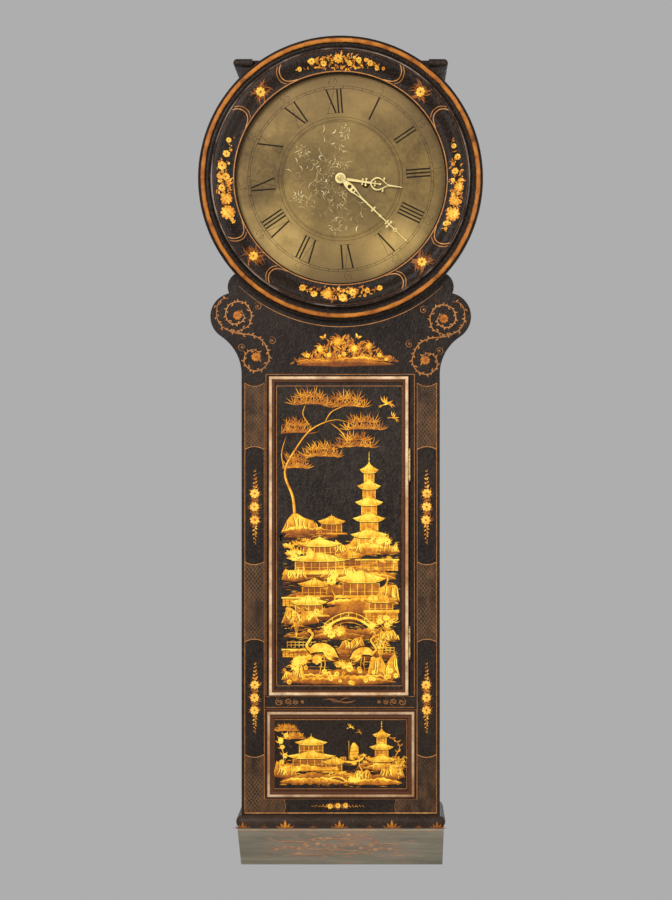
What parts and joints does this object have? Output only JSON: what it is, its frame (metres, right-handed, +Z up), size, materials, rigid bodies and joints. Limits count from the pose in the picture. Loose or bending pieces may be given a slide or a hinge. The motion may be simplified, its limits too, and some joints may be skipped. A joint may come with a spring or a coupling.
{
  "type": "wall clock",
  "caption": "Weight-driven wall clock with a long japanned case, a turned surround with a round engraved brass dial, a trunk door, an eight-day train and a seconds pendulum.",
  "frame": {"origin": "on the wall, at the back face of the backboard, behind the middle of the dial", "axes": "+X to the right as the dial is read, +Y into the wall, +Z up"},
  "size_m": [0.4999, 0.192, 1.475],
  "materials": {
    "japanned_black": "black japanning, rubbed satin, finely crackled",
    "japanned_side": "plain black japanning, satin",
    "japanned_base": "faded olive-black japanning, glossy",
    "bare_wood": "bare planed softwood",
    "dial_brass": "engraved brass, lacquered and dulled",
    "gilt_brass_hands": "bright pierced brass",
    "hinge_brass": "worn polished brass",
    "movement_brass": "brushed brass",
    "steel": "polished steel",
    "iron": "blackened iron",
    "lead": "dull cast lead",
    "gut": "twisted gut"
  },
  "bodies": {
    "case": {"backboard": "bare_wood", "side_left": "japanned_side", "side_right": "japanned_side", "head_front_board": "japanned_black", "stile_left": "japanned_black", "stile_right": "japanned_black", "middle_rail": "japanned_black", "bottom_rail": "japanned_black", "lower_panel": "japanned_black", "panel_moulding": "japanned_black", "base_torus": "japanned_black", "base_cant_board": "japanned_base", "base_cheeks": "japanned_side", "bottom_board": "bare_wood", "top_board": "japanned_black", "dial_surround": "japanned_black", "seatboard": "bare_wood", "seat_bearers": "bare_wood", "seat_bolts": "iron", "hanging_plate": "iron", "case_hinge_leaves": "hinge_brass", "hinge_pins": "hinge_brass", "dial_plate": "dial_brass", "dial_feet": "movement_brass", "front_plate": "movement_brass", "back_plate": "movement_brass", "pillars": "movement_brass", "plate_pins": "steel", "motion_bridge": "movement_brass", "back_cock": "movement_brass", "gut_line": "gut"},
    "trunk_door": {"door_board": "japanned_black", "door_moulding": "japanned_black", "door_hinge_leaves": "hinge_brass", "lock_case": "hinge_brass"},
    "lock_bolt": {"lock_bolt": "hinge_brass"},
    "side_door_left": {"side_door_left": "japanned_side", "side_brass_left": "hinge_brass"},
    "side_door_right": {"side_door_right": "japanned_side", "side_brass_right": "hinge_brass"},
    "centre_arbor": {"centre_wheel": "movement_brass", "cannon_wheel": "movement_brass", "minute_hand": "gilt_brass_hands", "hand_collet": "gilt_brass_hands"},
    "hour_pipe": {"hour_wheel": "movement_brass", "hour_hand": "gilt_brass_hands"},
    "reverse_arbor": {"reverse_wheel": "movement_brass"},
    "great_wheel": {"great_wheel": "movement_brass"},
    "click": {"click": "steel"},
    "barrel": {"barrel": "movement_brass"},
    "third_arbor": {"third_wheel": "movement_brass"},
    "escape_arbor": {"escape_wheel": "movement_brass"},
    "anchor": {"anchor": "steel"},
    "pendulum": {"pendulum_rod": "steel", "pendulum_bob": "movement_brass", "rating_nut": "movement_brass"},
    "weight": {"pulley_stirrup": "movement_brass", "weight": "lead"},
    "pulley": {"pulley": "movement_brass"}
  },
  "joints": [
    {"name": "trunk_door_swing", "type": "hinge", "parent": "case", "child": "trunk_door", "pos_m": [0.1203, -0.17, -0.628], "axis": [0, 0, 1], "range_deg": [0, 110]},
    {"name": "lock_bolt_slide", "type": "slide", "parent": "trunk_door", "child": "lock_bolt", "axis": [-1, 0, 0], "range_m": [0, 0.006]},
    {"name": "side_door_left_swing", "type": "hinge", "parent": "case", "child": "side_door_left", "pos_m": [-0.1769, -0.0503, 0.04], "axis": [0, 0, -1], "range_deg": [0, 95]},
    {"name": "side_door_right_swing", "type": "hinge", "parent": "case", "child": "side_door_right", "pos_m": [0.1769, -0.0503, 0.04], "axis": [0, 0, 1], "range_deg": [0, 95]},
    {"name": "minute_spin", "type": "hinge", "parent": "case", "child": "centre_arbor", "pos_m": [0, -0.11, 0], "axis": [0, 1, 0], "continuous": true},
    {"name": "hour_spin", "type": "hinge", "parent": "case", "child": "hour_pipe", "pos_m": [0, -0.155, 0], "axis": [0, 1, 0], "continuous": true},
    {"name": "reverse_spin", "type": "hinge", "parent": "case", "child": "reverse_arbor", "pos_m": [-0.012, -0.1463, -0.02078], "axis": [0, 1, 0], "continuous": true},
    {"name": "great_spin", "type": "hinge", "parent": "case", "child": "great_wheel", "pos_m": [0.044, -0.0845, -0.0097], "axis": [0, 1, 0], "continuous": true},
    {"name": "third_spin", "type": "hinge", "parent": "case", "child": "third_arbor", "pos_m": [-0.014, -0.11, 0.02131], "axis": [0, 1, 0], "continuous": true},
    {"name": "escape_spin", "type": "hinge", "parent": "case", "child": "escape_arbor", "pos_m": [0, -0.11, 0.03835], "axis": [0, 1, 0], "continuous": true},
    {"name": "click_lift", "type": "hinge", "parent": "great_wheel", "child": "click", "pos_m": [0.0635, -0.0877, 0.0013], "axis": [0, 1, 0], "range_deg": [0, 14]},
    {"name": "barrel_wind", "type": "hinge", "parent": "case", "child": "barrel", "pos_m": [0.044, -0.11, -0.0097], "axis": [0, 1, 0], "range_deg": [0, 5760]},
    {"name": "weight_slide", "type": "slide", "parent": "case", "child": "weight", "axis": [0, 0, 1], "range_m": [0, 0.7539], "deforming": ["gut_line"]},
    {"name": "pulley_spin", "type": "hinge", "parent": "weight", "child": "pulley", "pos_m": [0.049, -0.108, -0.861], "axis": [0, 1, 0], "range_deg": [0, 2160]},
    {"name": "pendulum_swing", "type": "hinge", "parent": "case", "child": "pendulum", "pos_m": [0, -0.05, 0.06451], "axis": [0, 1, 0], "range_deg": [-2.5, 2.5]},
    {"name": "anchor_swing", "type": "hinge", "parent": "case", "child": "anchor", "pos_m": [0, -0.11, 0.06451], "axis": [0, 1, 0], "range_deg": [-2.5, 2.5]}
  ],
  "couplings": [
    {"joint": "hour_spin", "follows": "minute_spin", "ratio": 0.083333},
    {"joint": "reverse_spin", "follows": "minute_spin", "ratio": -1},
    {"joint": "great_spin", "follows": "minute_spin", "ratio": -0.083333},
    {"joint": "third_spin", "follows": "minute_spin", "ratio": -7.5},
    {"joint": "escape_spin", "follows": "minute_spin", "ratio": 60},
    {"joint": "barrel_wind", "follows": "weight_slide", "rad_per_m": 133.33},
    {"joint": "pulley_spin", "follows": "weight_slide", "rad_per_m": 50},
    {"joint": "anchor_swing", "follows": "pendulum_swing", "ratio": 1}
  ]
}
